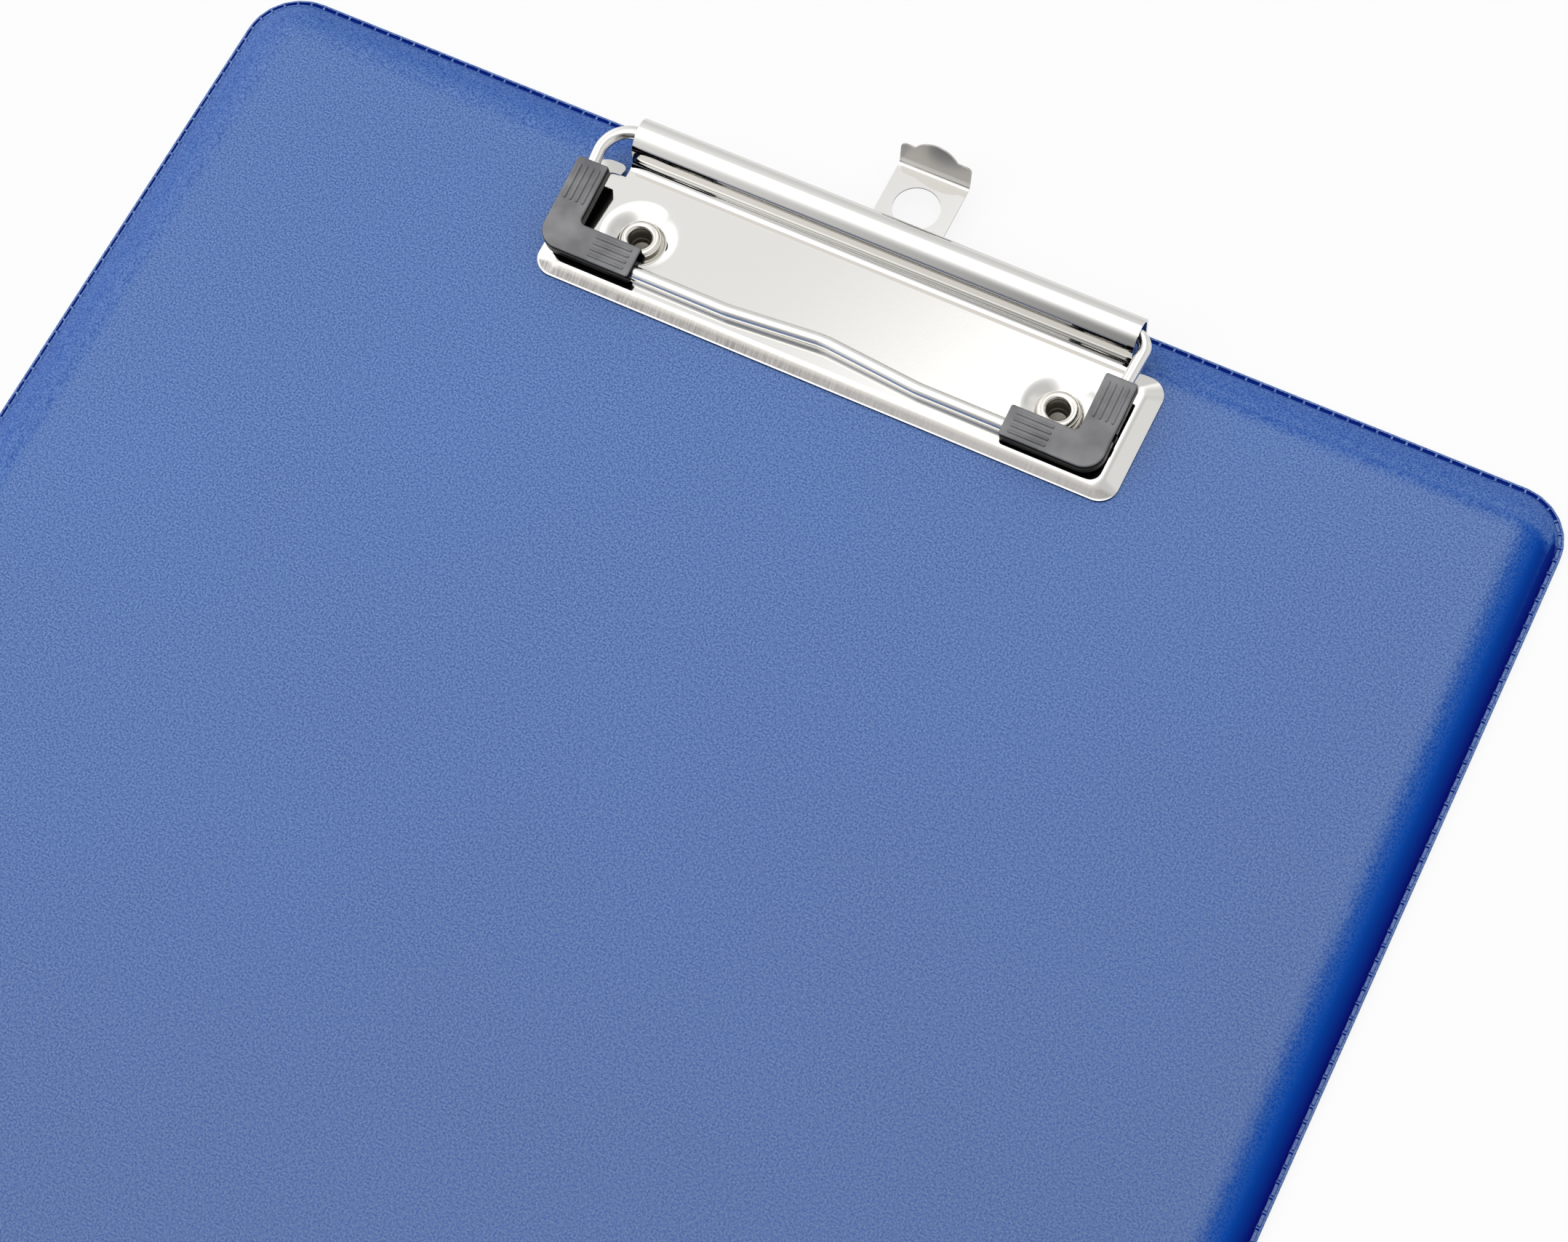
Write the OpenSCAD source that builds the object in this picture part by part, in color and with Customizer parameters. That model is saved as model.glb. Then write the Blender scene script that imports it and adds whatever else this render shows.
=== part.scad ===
// Clipboard with a wire clip: a stiff board welded between two PVC foils, a pressed steel
// plate riveted across its top edge, a sprung wire bail with moulded corner grips, and a
// hanging tab that slides out from under the plate.
// Millimetres. The origin is the centre of the board's flat back. +X is right, +Y is
// towards the clip and +Z comes out of the front.

/* [Board] */
// Width of the welded board
board_w = 230; // [200:1:260]
// Length of the welded board
board_l = 320; // [280:1:380]
// Radius of the board's corners, and how far in from the edge its front becomes flat
board_corner_r = 9.2; // [7:0.1:14]
// Thickness of the stiff core
core_t = 2.1; // [1.5:0.1:3]
// Thickness of each PVC foil
foil_t = 0.45; // [0.3:0.05:0.6]
// Thickness of the two foils where they are welded together at the edge
seam_t = 0.7; // [0.6:0.05:0.9]
// Width of the welded seam
seam_w = 1; // [0.8:0.05:3]

/* [Clip plate] */
// Width of the plate at the board
plate_w = 100.4; // [90:0.1:130]
// Distance from the board's top edge to the plate's front edge
plate_front_y = 31.15; // [29:0.05:36]
// Distance from the board's top edge to the rear edge of the plate's ears
plate_rear_y = 8.0; // [7.5:0.1:9]
// Thickness of the sheet
sheet_t = 0.5; // [0.4:0.05:0.6]
// Height of the plate's flat top above the board
plate_h = 1.8; // [1.6:0.1:2.5]
// How far the skirt runs out at the sides
skirt_side = 2.8; // [1.5:0.1:3.5]
// How far the skirt runs out at the front
skirt_front = 1.95; // [1.5:0.05:3]
// How far the skirt runs out behind the ears
skirt_rear = 2.7; // [1.5:0.1:3]
// Corner radius of the plate at the board
plate_corner_r = 3.3; // [2.5:0.1:5]
// Corner radius of the plate's flat top
crease_corner_r = 2; // [1:0.1:3]

/* [Barrel] */
// Length of the barrel
barrel_w = 86.9; // [70:0.1:90]
// Outer radius of the barrel
barrel_r = 3; // [2.6:0.05:3.2]
// Distance from the board's top edge to the barrel's axis
barrel_y = 5.1; // [4.6:0.1:5.5]
// Height of the barrel's axis above the board
barrel_h = 5.6; // [5:0.1:6.5]
// Width of the notch between the wall's end and each ear
ear_notch = 0.95; // [0.6:0.05:2]

/* [Rivets] */
// Distance between the two rivets
rivet_spacing = 72.72; // [60:0.01:76]
// Distance from the board's top edge to the rivets
rivet_y = 19.6; // [18:0.1:21]
// Radius of the dish pressed round each rivet
dish_r = 5.8; // [5:0.1:6.5]
// Radius of the rivet's rolled flange
rivet_flange_r = 3.15; // [2.8:0.05:3.6]
// Radius of the rivet's shank
rivet_shank_r = 2.35; // [2.1:0.05:2.6]
// Radius of the rivet's blind hole
rivet_hole_r = 1.9; // [1.5:0.05:2]
// Radius of the rivet's flat head, set flush in the back
rivet_head_r = 4; // [3:0.1:5]

/* [Wire bail] */
// Wire diameter
wire_d = 2.2; // [1.8:0.1:2.4]
// Distance from the board's top edge to the pivot, where the wire lies in the barrel
wire_y = 4.7; // [4.4:0.1:5.5]
// Height of the pivot above the board
wire_h = 5.8; // [5.2:0.1:6]
// Distance from the board's top edge to the front bar
bar_y = 26.3; // [25:0.1:27]
// Height of the front bar's centre above the board
bar_h = 3; // [2.95:0.05:3.5]
// How far the whole bail sits off centre, from its sideways play
bail_shift = -1.8; // [-2:0.1:0]
// Distance from the bail's centre to each arm at the pivot
arm_rear = 46.9; // [46:0.1:50]
// Distance from the bail's centre to each arm at the front bar
arm_front = 45.6; // [44:0.1:48]
// Bend radius at the left rear corner
rear_bend_left = 5; // [2.5:0.1:6]
// Bend radius at the right rear corner
rear_bend_right = 2.6; // [2.5:0.1:6]
// Bend radius at the two front corners
front_bend = 3; // [2:0.1:4]
// How far the front bar's middle is set back
hump = 1.4; // [0.5:0.1:3]
// Where the set-back starts, peaks and ends, from the board's centre line
hump_x = [-17.5, -1.3, 15.5];
// Bend radius in the set-back
hump_bend = 11; // [8:1:15]
// Gap in the middle of the barrel between the wire's two ends
wire_end_gap = 6; // [1:0.5:10]

/* [Grips] */
// Width of each arm of a grip
grip_w = 5.4; // [5:0.1:6]
// Length of the arm along the front bar
grip_front_l = 16.5; // [14:0.1:20]
// Length of the arm along the side
grip_side_l = 15.9; // [14:0.1:16]
// Height of the grip's top above the wire's centre
grip_top = 2; // [1.8:0.1:3]
// How far the grip reaches below the wire's centre
grip_drop = 0.6; // [0:0.1:0.8]
// Outer corner radius
grip_corner_r = 3.5; // [2:0.1:4]
// Radius of the inside corner
grip_inner_r = 0.9; // [0.5:0.1:2]
// Left grip's outer corner: across from the centre line, and out from the pivot
grip_left_at = [-50.4, 23.64];
// Right grip's outer corner, in the same way
grip_right_at = [46.75, 24.14];
// Ribs on each arm
rib_count = 4; // [2:1:4]
// Distance from one rib to the next
rib_pitch = 1.08; // [0.9:0.01:1.2]
// Length of a rib
rib_l = 6.4; // [4:0.1:8]
// Width of a rib
rib_w = 0.5; // [0.3:0.05:0.7]
// Height of a rib
rib_h = 0.25; // [0.1:0.05:0.4]

/* [Hanging tab] */
// Width of the tab
tab_w = 12.3; // [10:0.1:16]
// How far the tab sits off centre
tab_shift = 0.85; // [-2:0.05:2]
// Distance past the board's top edge to the back of the raised lip
tab_reach = 11.35; // [10:0.05:16]
// Gap between the tab and the board
tab_gap = 0.15; // [0.1:0.05:0.3]
// Thickness of the tab's sheet
tab_t = 0.3; // [0.25:0.05:0.5]
// Radius of the hanging hole
hang_hole_r = 3.9; // [3:0.1:4.5]
// Distance past the board's top edge to the hole's centre
hang_hole_y = 4.24; // [3:0.01:6]
// Height of the lip's shoulders above its bend
lip_h = 4.1; // [2:0.1:5]
// How far the lip's rounded middle rises above its shoulders
lip_crown = 2.1; // [0.5:0.1:3]
// Lean of the lip, away from the board
lip_lean = 10; // [0:1:25]
// Inner radius of the bend below the lip
lip_bend_r = 0.6; // [0.4:0.1:1]
// Corner radius of the lip
lip_corner_r = 0.9; // [0.5:0.1:2]
// Width of the stop at the tab's inner end
stop_w = 21; // [16:0.5:30]

/* [Hidden] */
board_t = core_t + 2 * foil_t;
inner_barrel_r = barrel_r - sheet_t;
curve_steps = 12;
core_edge_step = 5;
slot_clearance = 0.4;
fit_gap = 0.05;
arc_steps = 10;
round_fn = 96;
wire_fn = 48;
join_overlap = 0.02;
bend_swell = 0.004;
rib_root = 0.1;
bail_reach = sqrt(pow(bar_y - wire_y, 2) + pow(wire_h - bar_h, 2));
bail_tilt = asin((wire_h - bar_h) / bail_reach);
tab_z = tab_gap;

// ---- helpers ----

// Places the clip: y is 0 at the board's top edge, z is 0 on the board's front
module at_clip() {
    translate([0, board_l / 2, board_t]) children();
}

// Places the bail's own flat plane: y is 0 at the pivot, with the front bar at -bail_reach
module at_bail() {
    at_clip() translate([0, -wire_y, wire_h]) rotate([bail_tilt, 0, 0]) children();
}

// Runs a section drawn in (y, z) along x, centred
module along_x(length) {
    translate([-length / 2, 0, 0]) rotate([90, 0, 90]) linear_extrude(length) children();
}

// The two rivet places
module at_rivets() {
    at_clip() for (side = [-1, 1]) translate([side * rivet_spacing / 2, -rivet_y, 0]) children();
}

function unit(v) = v / norm(v);

// Signed turn at point b on the way from a to c, in degrees, left positive
function turn(a, b, c) =
    let (d = unit(b - a), e = unit(c - b))
    atan2(d[0] * e[1] - d[1] * e[0], d[0] * e[0] + d[1] * e[1]);

// How much of each straight a bend of radius r uses up at point b
function bend_trim(a, b, c, r) = r * tan(abs(turn(a, b, c)) / 2);

// Points of one rounded corner
function corner_arc(a, b, c, r) =
    let (angle = turn(a, b, c),
         side = sign(angle),
         d = unit(b - a),
         from = b - d * bend_trim(a, b, c, r),
         centre = from + side * r * [-d[1], d[0]],
         spoke = from - centre)
    [for (i = [0:arc_steps])
        let (t = angle * i / arc_steps)
        centre + [spoke[0] * cos(t) - spoke[1] * sin(t), spoke[0] * sin(t) + spoke[1] * cos(t)]];

// Closed outline with each corner rounded to its own radius
function rounded(points, radii) =
    let (n = len(points))
    [for (i = [0:n - 1])
        for (p = corner_arc(points[(i + n - 1) % n], points[i], points[(i + 1) % n], radii[i])) p];

// A flat plate with round corners, centred, standing on z = 0
module round_plate(w, l, r, t) {
    translate([-w / 2 + r, -l / 2, 0]) cube([w - 2 * r, l, t]);
    translate([-w / 2, -l / 2 + r, 0]) cube([w, l - 2 * r, t]);
    for (x = [-1, 1], y = [-1, 1])
        translate([x * (w / 2 - r), y * (l / 2 - r), 0]) cylinder(r = r, h = t, $fn = round_fn);
}

// ---- board ----

// Share of the full rise that the foil has reached at share t of the way in from the seam
function rise(t) = 1 - pow(1 - t, 2.2);

// Upper side of the front foil from the seam to the flat, [distance in, height]
foil_top = [for (i = [0:curve_steps])
    let (t = i / curve_steps)
    [seam_w + (board_corner_r - seam_w) * t, seam_t + (board_t - seam_t) * rise(t)]];

// Underside of the front foil, starting a little further in
foil_under = [for (i = [0:curve_steps])
    let (t = i / curve_steps, start = seam_w + 0.3)
    [start + (board_corner_r - start) * t, foil_t + core_t * rise(t)]];

// Carries a section round the board's edge; the section is [distance in, height]
module board_rim(section) {
    r = board_corner_r;
    for (side = [0:3]) rotate(90 * side) {
        half = (side % 2 == 0 ? board_w : board_l) / 2;
        run = (side % 2 == 0 ? board_l : board_w) - 2 * r;
        translate([half, run / 2, 0]) rotate([90, 0, 0]) linear_extrude(run)
            polygon([for (p = section) [-p[0], p[1]]]);
        translate([half - r, run / 2, 0]) rotate_extrude(angle = 90, $fn = round_fn)
            polygon([for (p = section) [r - p[0], p[1]]]);
    }
}

// The flat middle of a layer, inside the rim
module board_middle(z, t) {
    w = board_w - 2 * board_corner_r;
    l = board_l - 2 * board_corner_r;
    translate([-w / 2, -l / 2, z]) cube([w, l, t]);
}

module rivet_holes(r) {
    at_rivets() translate([0, 0, -2 * board_t]) cylinder(r = r, h = 3 * board_t, $fn = round_fn);
}

// Stiff core, its edge pressed round under the foil
module board_core() {
    section = concat(
        [[board_corner_r, foil_t], [foil_under[core_edge_step][0], foil_t]],
        [for (i = [core_edge_step:curve_steps]) foil_under[i]]);
    color("tan") difference() {
        union() {
            board_rim(section);
            board_middle(foil_t, core_t);
        }
        rivet_holes(rivet_shank_r + fit_gap);
    }
}

// Front foil: a welded lip at the edge, then a soft slope up to the flat
module front_cover() {
    section = concat(
        [[0, foil_t], [0, seam_t]],
        foil_top,
        [for (i = [curve_steps:-1:0]) foil_under[i]]);
    color("royalblue") difference() {
        union() {
            board_rim(section);
            board_middle(board_t - foil_t, foil_t);
        }
        rivet_holes(rivet_shank_r + fit_gap);
    }
}

// Back foil: flat all over
module back_cover() {
    color("royalblue") difference() {
        round_plate(board_w, board_l, board_corner_r, foil_t);
        rivet_holes(rivet_head_r + fit_gap);
    }
}

// ---- clip plate ----

// A round-cornered slice of the plate's body; the insets are from the outline at the board
module plate_slice(side, front, rear, r, z) {
    w = plate_w - 2 * side;
    l = plate_front_y - plate_rear_y - front - rear;
    translate([0, -plate_front_y + front + l / 2, z])
        linear_extrude(0.01) square_round(w, l, r);
}

module square_round(w, l, r) {
    polygon(rounded([[-w / 2, -l / 2], [w / 2, -l / 2], [w / 2, l / 2], [-w / 2, l / 2]],
                    [r, r, r, r]));
}

// Solid block under the flat top and the sloping skirt; inset is taken off all round
module plate_body(inset, top) {
    hull() {
        plate_slice(inset, inset, inset, plate_corner_r - inset, -0.01);
        plate_slice(skirt_side + inset / 2, skirt_front + inset / 2, skirt_rear + inset / 2,
                    crease_corner_r, top - 0.01);
    }
}

// Section through the wall and the barrel: up from the flat, over the wire and down behind
module barrel_section() {
    fillet_r = barrel_r / 2;
    wall_y = -barrel_y - barrel_r;
    fillet_at = [wall_y - fillet_r, plate_h + fillet_r];
    flat_start = -plate_rear_y - skirt_rear - 1;
    translate([flat_start, plate_h - sheet_t]) square([fillet_at[0] - flat_start, sheet_t]);
    translate(fillet_at) intersection() {
        difference() {
            circle(r = fillet_r + sheet_t, $fn = round_fn);
            circle(r = fillet_r, $fn = round_fn);
        }
        translate([0, -2 * fillet_r]) square(2 * fillet_r);
    }
    translate([wall_y, fillet_at[1]]) square([sheet_t, barrel_h - fillet_at[1]]);
    translate([-barrel_y, barrel_h]) intersection() {
        difference() {
            circle(r = barrel_r, $fn = round_fn);
            circle(r = inner_barrel_r, $fn = round_fn);
        }
        translate([-barrel_r, 0]) square([2 * barrel_r, barrel_r]);
    }
    translate([-barrel_y + inner_barrel_r, 0]) square([sheet_t, barrel_h]);
}

// The dish round a rivet: the sheet dips until it sits on the board
module dish() {
    rotate_extrude($fn = round_fn) polygon([
        [rivet_shank_r + fit_gap, 0], [rivet_flange_r + 0.6, 0],
        [dish_r - 0.9, plate_h - sheet_t], [dish_r, plate_h - sheet_t],
        [dish_r, plate_h], [dish_r - 1.1, plate_h],
        [rivet_flange_r + 0.3, sheet_t], [rivet_shank_r + fit_gap, sheet_t]]);
}

module clip_plate() {
    rear_crease = -plate_rear_y - skirt_rear;
    color("gainsboro") {
        at_clip() difference() {
            union() {
                difference() {
                    plate_body(0, plate_h);
                    plate_body(0.6, plate_h - sheet_t);
                    // Between the ears the sheet turns up into the wall
                    translate([-barrel_w / 2 - ear_notch, rear_crease, -1])
                        cube([barrel_w + 2 * ear_notch, 10, 10]);
                    for (side = [-1, 1])
                        translate([side * rivet_spacing / 2, -rivet_y, -1])
                            cylinder(r = dish_r, h = 10, $fn = round_fn);
                }
                along_x(barrel_w) barrel_section();
            }
            // Slot in the rear wall for the hanging tab
            translate([tab_shift - tab_w / 2 - slot_clearance, -barrel_y, -1])
                cube([tab_w + 2 * slot_clearance, 10, 1 + plate_h - sheet_t]);
        }
        at_rivets() dish();
    }
}

// Hollow rivets: a head flush with the back, a shank and a rolled flange in the dish
module rivets() {
    roll_r = (rivet_flange_r - rivet_hole_r) / 2;
    color("silver") at_rivets() {
        difference() {
            translate([0, 0, -board_t])
                cylinder(r = rivet_shank_r, h = board_t + sheet_t + roll_r, $fn = round_fn);
            translate([0, 0, -board_t + foil_t])
                cylinder(r = rivet_hole_r, h = 10, $fn = round_fn);
        }
        translate([0, 0, -board_t]) cylinder(r = rivet_head_r, h = foil_t, $fn = round_fn);
        translate([0, 0, sheet_t + roll_r]) rotate_extrude($fn = round_fn)
            translate([rivet_hole_r + roll_r, 0]) circle(r = roll_r, $fn = 24);
    }
}

// ---- wire bail ----

// The wire's corner points in the bail's plane, from end to end, each with a bend radius
wire_route = [
    [[-wire_end_gap / 2, 0], 0],
    [[bail_shift - arm_rear, 0], rear_bend_left],
    [[bail_shift - arm_front, -bail_reach], front_bend],
    [[hump_x[0], -bail_reach], hump_bend],
    [[hump_x[1], -bail_reach + hump], hump_bend],
    [[hump_x[2], -bail_reach], hump_bend],
    [[bail_shift + arm_front, -bail_reach], front_bend],
    [[bail_shift + arm_rear, 0], rear_bend_right],
    [[wire_end_gap / 2, 0], 0]];

// Straight length used up by the bend at a point of the route
function route_trim(i) =
    i == 0 || i == len(wire_route) - 1 ? 0 :
    bend_trim(wire_route[i - 1][0], wire_route[i][0], wire_route[i + 1][0], wire_route[i][1]);

// The rest of the wire from straight i on, starting at the origin along +x: the straight,
// then the bend after it, then the rest in the frame where that bend ends. Each straight
// runs a little way into the bends, which are a hair thicker, so that they join up.
module wire_from(i, r) {
    a = wire_route[i][0];
    b = wire_route[i + 1][0];
    span = norm(b - a) - route_trim(i) - route_trim(i + 1);
    translate([-join_overlap, 0, 0]) rotate([0, 90, 0])
        cylinder(r = r, h = span + 2 * join_overlap, $fn = wire_fn);
    if (i < len(wire_route) - 2) {
        angle = turn(a, b, wire_route[i + 2][0]);
        side = sign(angle);
        bend_r = wire_route[i + 1][1];
        translate([span, side * bend_r, 0]) {
            rotate(-90 * side + min(angle, 0)) rotate_extrude(angle = abs(angle), $fn = round_fn)
                translate([bend_r, 0]) circle(r = r + bend_swell, $fn = wire_fn);
            rotate(angle) translate([0, -side * bend_r, 0]) wire_from(i + 1, r);
        }
    }
}

// Round bar of radius r along the whole of the wire's route
module wire_along_route(r) {
    d = wire_route[1][0] - wire_route[0][0];
    translate(wire_route[0][0]) rotate(atan2(d[1], d[0])) wire_from(0, r);
}

module wire_bail() {
    color("lightgray") at_bail() wire_along_route(wire_d / 2);
}

// One rib, with round ends, lying along x from the origin and rooted in the grip
module rib() {
    translate([rib_w / 2, -rib_w / 2, -rib_root]) cube([rib_l - rib_w, rib_w, rib_h + rib_root]);
    for (x = [rib_w / 2, rib_l - rib_w / 2])
        translate([x, 0, -rib_root]) cylinder(r = rib_w / 2, h = rib_h + rib_root, $fn = 24);
}

// L-shaped grip: outer corner at the origin, front arm along +x, side arm along +y
module grip() {
    outline = rounded(
        [[0, 0], [grip_front_l, 0], [grip_front_l, grip_w], [grip_w, grip_w],
         [grip_w, grip_side_l], [0, grip_side_l]],
        [grip_corner_r, 0.5, 0.4, grip_inner_r, 0.4, 0.5]);
    translate([0, 0, -grip_drop]) linear_extrude(grip_top + grip_drop) polygon(outline);
    for (i = [0:rib_count - 1]) {
        across = grip_w / 2 + (i - (rib_count - 1) / 2) * rib_pitch;
        translate([grip_front_l - 1.2 - rib_l, across, grip_top]) rib();
        translate([across, grip_side_l - 1.2 - rib_l, grip_top]) rotate(90) rib();
    }
}

module left_grip() {
    color("dimgray") at_bail() difference() {
        translate([grip_left_at[0], -grip_left_at[1], 0]) grip();
        wire_along_route(wire_d / 2 + fit_gap);
    }
}

module right_grip() {
    color("dimgray") at_bail() difference() {
        translate([grip_right_at[0], -grip_right_at[1], 0]) mirror([1, 0, 0]) grip();
        wire_along_route(wire_d / 2 + fit_gap);
    }
}

// ---- hanging tab ----

// The lip seen from the front, standing on y = 0: round shoulders with an arc between them
module lip_outline() {
    half = tab_w / 2;
    crown_half = tab_w * 0.3;
    crown_r = (pow(crown_half, 2) + pow(lip_crown, 2)) / (2 * lip_crown);
    polygon(rounded([[-half, 0], [half, 0], [half, lip_h], [-half, lip_h]],
                    [0.01, 0.01, lip_corner_r, lip_corner_r]));
    translate([0, lip_h - 0.01]) intersection() {
        translate([0, lip_crown - crown_r]) circle(r = crown_r, $fn = round_fn);
        translate([-half, 0]) square([tab_w, lip_h]);
    }
}

module hanging_tab() {
    outer_bend_r = lip_bend_r + tab_t;
    bend_y = tab_reach - outer_bend_r;
    inner_end_y = -barrel_y - inner_barrel_r + 1.2;
    stop_front_y = -barrel_y + inner_barrel_r - 0.3;
    color("whitesmoke") at_clip() translate([tab_shift, 0, tab_z]) difference() {
        union() {
            translate([-tab_w / 2, inner_end_y, 0]) cube([tab_w, bend_y - inner_end_y, tab_t]);
            translate([-stop_w / 2, inner_end_y, 0])
                cube([stop_w, stop_front_y - inner_end_y, tab_t]);
            translate([0, bend_y, outer_bend_r]) {
                along_x(tab_w) intersection() {
                    difference() {
                        circle(r = outer_bend_r, $fn = round_fn);
                        circle(r = lip_bend_r, $fn = round_fn);
                    }
                    polygon([[0, 0], [0, -4], [4, -4],
                             [4 * cos(lip_lean), -4 * sin(lip_lean)]]);
                }
                rotate([-lip_lean, 0, 0]) translate([0, outer_bend_r, 0]) rotate([90, 0, 0])
                    linear_extrude(tab_t) lip_outline();
            }
        }
        translate([0, hang_hole_y, -1]) cylinder(r = hang_hole_r, h = 3, $fn = round_fn);
    }
}

board_core();
front_cover();
back_cover();
clip_plate();
rivets();
wire_bail();
left_grip();
right_grip();
hanging_tab();
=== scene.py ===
# %% [markdown]
# # A clipboard with a wire clip
# A stiff board is welded between two PVC foils. A pressed, nickel-plated plate is riveted
# across its top edge. A sprung wire bail turns in the plate's barrel and clamps the paper
# with two moulded corner grips, and a hanging tab slides out from under the plate.
# Each cell below makes one piece or one finish. All sizes are in millimetres until the
# points go into a mesh, where they become metres.

# %% Load the CAD frame
import math
from functools import partial

import bmesh
import bpy
import numpy as np
from mathutils import Matrix, Vector
from mathutils.geometry import delaunay_2d_cdt


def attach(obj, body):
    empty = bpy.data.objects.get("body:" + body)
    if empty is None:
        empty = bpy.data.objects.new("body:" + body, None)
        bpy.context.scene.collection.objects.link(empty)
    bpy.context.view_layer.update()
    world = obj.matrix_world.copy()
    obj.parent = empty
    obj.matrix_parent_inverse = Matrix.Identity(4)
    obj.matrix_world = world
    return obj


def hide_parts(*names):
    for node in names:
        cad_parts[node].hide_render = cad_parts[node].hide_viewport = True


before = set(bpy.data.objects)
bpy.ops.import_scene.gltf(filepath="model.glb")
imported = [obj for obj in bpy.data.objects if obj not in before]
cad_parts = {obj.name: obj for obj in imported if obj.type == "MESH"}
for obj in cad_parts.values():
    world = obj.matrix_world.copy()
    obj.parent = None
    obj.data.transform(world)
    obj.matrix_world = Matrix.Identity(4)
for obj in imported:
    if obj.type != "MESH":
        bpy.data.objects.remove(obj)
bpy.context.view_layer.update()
scene = bpy.context.scene
MM = 0.001

# %% [markdown]
# ## The main sizes
# These repeat the sizes of the CAD source, so every new surface lies on the solid that it
# stands for. The clip is drawn in its own frame: y is 0 at the board's top edge and z is 0
# on the board's front. One function shifts points from there to the board's frame.

# %% Sizes of the board and the clip
BOARD_W, BOARD_L, BOARD_T = 230.0, 320.0, 3.0
CORNER_R = 9.2
FOIL_T, CORE_T = 0.45, 2.1
SEAM_T, SEAM_W = 0.7, 1.0
SHEET_T = 0.5
PLATE_FRONT, PLATE_H = -31.15, 1.8
PIVOT_Y, PIVOT_Z = -4.7, 5.8
BAR_Y, BAR_Z = -26.3, 3.0
BAIL_REACH = math.hypot(PIVOT_Y - BAR_Y, PIVOT_Z - BAR_Z)
BAIL_TILT = math.asin((PIVOT_Z - BAR_Z) / BAIL_REACH)


def from_clip(points):
    """Clip frame to board frame: y gains half the board's length, z its thickness."""
    return np.asarray(points, float) + [0, BOARD_L / 2, BOARD_T]


print("board", BOARD_W, "x", BOARD_L, "x", BOARD_T, "mm")

# %% [markdown]
# ## The camera
# The view is from above and in front, turned to the right and rolled a little. Three
# angles give the camera's own axes: right, up, and back from the object. A camera could be
# turned by Euler angles or by a constraint. Here one matrix places it, with those axes and
# its place as columns, so that no order of turns matters.

# %% Camera
AZIMUTH, ELEVATION, ROLL = 31.557, 65.483, -5.872
CAMERA_AT = np.array([130.23, -99.28, 492.10])
FOCAL_PX, FRAME_W_PX, SENSOR_MM = 4891.6, 2156, 36.0


def camera_axes(azimuth, elevation, roll):
    """Right, up and back vectors: back from the two angles, right level and then rolled."""
    a, e, r = np.radians([azimuth, elevation, roll])
    back = np.array([math.sin(a) * math.cos(e), -math.cos(a) * math.cos(e), math.sin(e)])
    level = np.array([math.cos(a), math.sin(a), 0.0])
    upright = np.cross(back, level)
    right = math.cos(r) * level + math.sin(r) * upright
    return right, np.cross(back, right), back


lens = bpy.data.cameras.new("view")
lens.sensor_fit = "HORIZONTAL"
lens.sensor_width = SENSOR_MM
lens.lens = SENSOR_MM * FOCAL_PX / FRAME_W_PX
lens.clip_start, lens.clip_end = 0.01, 20.0
camera = bpy.data.objects.new("camera", lens)
placing = np.eye(4)
placing[:3, :3] = np.array(camera_axes(AZIMUTH, ELEVATION, ROLL)).T
placing[:3, 3] = CAMERA_AT * MM
camera.matrix_world = Matrix(placing.tolist())
scene.collection.objects.link(camera)
scene.camera = camera
print("focal length %.2f mm" % lens.lens)

# %% [markdown]
# ## Colours and nodes
# Shaders work in linear light, while a colour given in hex is in sRGB, so one function
# turns a hex value into linear. Another adds any node, sets its values and makes its
# links, which keeps each material short enough to read as a recipe.

# %% Helper for colours


def linear(hex_colour):
    """sRGB hex to linear RGBA: the sRGB curve undone for each channel."""
    s = np.array([int(hex_colour[i:i + 2], 16) for i in (1, 3, 5)]) / 255
    rgb = np.where(s <= 0.04045, s / 12.92, ((s + 0.055) / 1.055) ** 2.4)
    return (*rgb.tolist(), 1.0)


# %% Helpers for nodes
COLOUR = {"data_type": "RGBA"}
SOFT = {"interpolation_type": "SMOOTHSTEP"}


def mm(*lengths):
    """Millimetres to metres, for the lengths that a node takes."""
    return [length * MM for length in lengths]


def add(tree, kind, settings=None, *values, **named):
    """One node. settings are its attributes, or only its operation. The values go to its
    inputs in their order, and the named ones by name. A value may be a number, a colour, a
    socket, or a node, which stands for the first output that it uses."""
    made = tree.nodes.new("ShaderNode" + kind)
    if isinstance(settings, str):
        settings = {"operation": settings}
    for name, setting in (settings or {}).items():
        setattr(made, name, setting)
    inputs = list(zip([socket for socket in made.inputs if socket.enabled], values))
    inputs += [(made.inputs[name.replace("_", " ")], value) for name, value in named.items()]
    for socket, value in inputs:
        if isinstance(value, bpy.types.Node):
            value = next(output for output in value.outputs if output.enabled)
        if isinstance(value, bpy.types.NodeSocket):
            tree.links.new(value, socket)
        else:
            socket.default_value = value
    return made


def emptied(owner):
    """The add function for one material or world, whose nodes start from none."""
    owner.use_nodes = True
    owner.node_tree.nodes.clear()
    return partial(add, owner.node_tree)


def new_material(name):
    """An empty material: returns it, its own add function and its Object coordinates."""
    material = bpy.data.materials.new(name)
    node = emptied(material)
    return material, node, node("TexCoord").outputs["Object"]


def finish_surface(node, **shader):
    """The Principled shader with its inputs, which ends a material."""
    node("OutputMaterial", None, Surface=node("BsdfPrincipled", None, **shader))
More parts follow.
